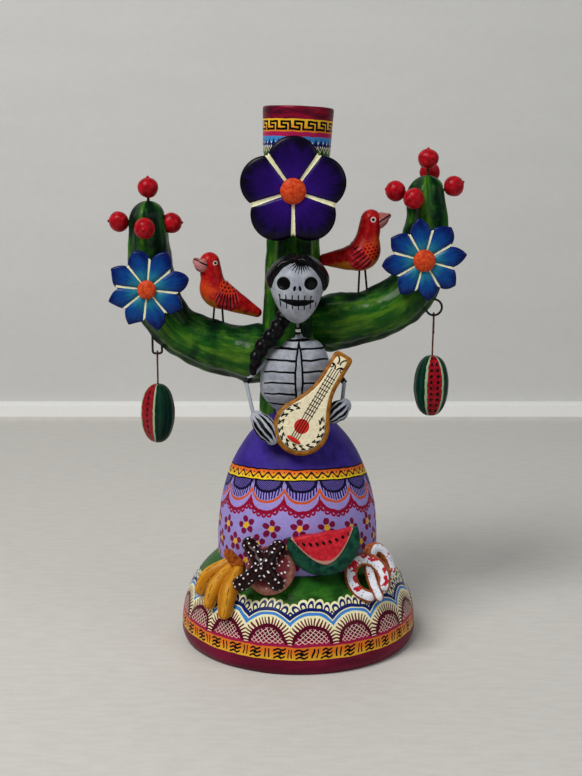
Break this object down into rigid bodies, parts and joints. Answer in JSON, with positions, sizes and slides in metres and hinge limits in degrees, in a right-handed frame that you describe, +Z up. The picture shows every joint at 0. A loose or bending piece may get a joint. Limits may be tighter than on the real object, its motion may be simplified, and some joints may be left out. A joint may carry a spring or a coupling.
{
  "type": "figural candelabrum",
  "caption": "Painted clay candelabrum: a skeleton lady with a mandolin before a cactus that carries a candle cup, flowers, fruits, birds and hanging melons.",
  "frame": {"origin": "centre of the round base's underside", "axes": "+Z up, -Y towards the viewer of the lady, +X to the viewer's right"},
  "size_m": [0.2024, 0.136, 0.3017],
  "materials": {
    "painted_base": "hand-painted fired clay, satin varnish",
    "painted_skirt": "hand-painted fired clay, satin varnish",
    "cactus_green": "hand-painted fired clay, glossy varnish",
    "painted_cup": "hand-painted fired clay, satin varnish",
    "purple_petals": "hand-painted fired clay, satin varnish",
    "blue_petals": "hand-painted fired clay, satin varnish",
    "orange_button": "hand-painted fired clay, satin varnish",
    "red_fruit": "hand-painted fired clay, glossy varnish",
    "painted_wire": "steel wire painted green",
    "black_wire": "steel wire painted black",
    "dark_wire": "annealed steel wire, dark",
    "rusty_wire": "annealed steel wire, brown",
    "bare_wire": "annealed steel wire",
    "bird_red": "hand-painted fired clay, satin varnish",
    "bird_beak": "hand-painted fired clay, satin varnish",
    "hanging_melon": "hand-painted fired clay, satin varnish",
    "bone_grey": "hand-painted fired clay, satin varnish",
    "neck_beads": "painted clay beads",
    "hair_black": "hand-painted fired clay, glossy varnish",
    "mandolin_brown": "hand-painted fired clay, satin varnish",
    "mandolin_cream": "hand-painted fired clay, satin varnish",
    "mandolin_red": "hand-painted fired clay, satin varnish",
    "banana_yellow": "hand-painted fired clay, satin varnish",
    "banana_stalk": "hand-painted fired clay, satin varnish",
    "bread_crust": "hand-painted fired clay, satin varnish",
    "bread_glaze": "hand-painted fired clay, satin varnish",
    "melon_rind": "hand-painted fired clay, satin varnish",
    "melon_flesh": "hand-painted fired clay, satin varnish",
    "pastry_iced": "hand-painted fired clay, satin varnish"
  },
  "bodies": {
    "figure": {"base_dome": "painted_base", "skirt": "painted_skirt", "cactus_trunk": "cactus_green", "cactus_arm_left": "cactus_green", "cactus_arm_right": "cactus_green", "candle_cup": "painted_cup", "purple_flower_petals": "purple_petals", "purple_flower_button": "orange_button", "blue_flower_left_petals": "blue_petals", "blue_flower_left_button": "orange_button", "blue_flower_right_petals": "blue_petals", "blue_flower_right_button": "orange_button", "fruit_1": "red_fruit", "fruit_2": "red_fruit", "fruit_3": "red_fruit", "fruit_4": "red_fruit", "fruit_5": "red_fruit", "fruit_6": "red_fruit", "fruit_7": "red_fruit", "fruit_8": "red_fruit", "fruit_9": "red_fruit", "fruit_stems_left": "painted_wire", "fruit_stems_right": "painted_wire", "bird_left_body": "bird_red", "bird_left_beak": "bird_beak", "bird_left_legs": "black_wire", "bird_right_body": "bird_red", "bird_right_beak": "bird_beak", "bird_right_legs": "black_wire", "left_staple": "dark_wire", "right_ring_eye": "dark_wire", "torso": "bone_grey", "neck_wire": "bare_wire", "neck_beads": "neck_beads", "skull": "bone_grey", "hair_cap": "hair_black", "braid": "hair_black", "upper_arm_left": "bone_grey", "forearm_left": "bone_grey", "hand_left": "bone_grey", "upper_arm_right": "bone_grey", "forearm_right": "bone_grey", "hand_right": "bone_grey", "mandolin_body": "mandolin_brown", "mandolin_face": "mandolin_cream", "mandolin_bridge": "mandolin_red", "banana_1": "banana_yellow", "banana_2": "banana_yellow", "banana_3": "banana_yellow", "banana_stalk": "banana_stalk", "bread_bun": "bread_crust", "bread_bones": "bread_glaze", "melon_slice_rind": "melon_rind", "melon_slice_flesh": "melon_flesh", "pastry_front": "pastry_iced", "pastry_rear": "pastry_iced"},
    "left_pendant": {"left_pendant_wire": "rusty_wire", "left_melon": "hanging_melon"},
    "right_pendant": {"right_pendant_wire": "rusty_wire", "right_melon": "hanging_melon"}
  },
  "joints": [
    {"name": "left_pendant_swing", "type": "hinge", "parent": "figure", "child": "left_pendant", "pos_m": [-0.0819, 0.016, 0.162], "axis": [1, 0, 0], "range_deg": [-60, 60]},
    {"name": "right_pendant_swing", "type": "hinge", "parent": "figure", "child": "right_pendant", "pos_m": [0.0779, 0.016, 0.1842], "axis": [1, 0, 0], "range_deg": [-60, 60]}
  ]
}
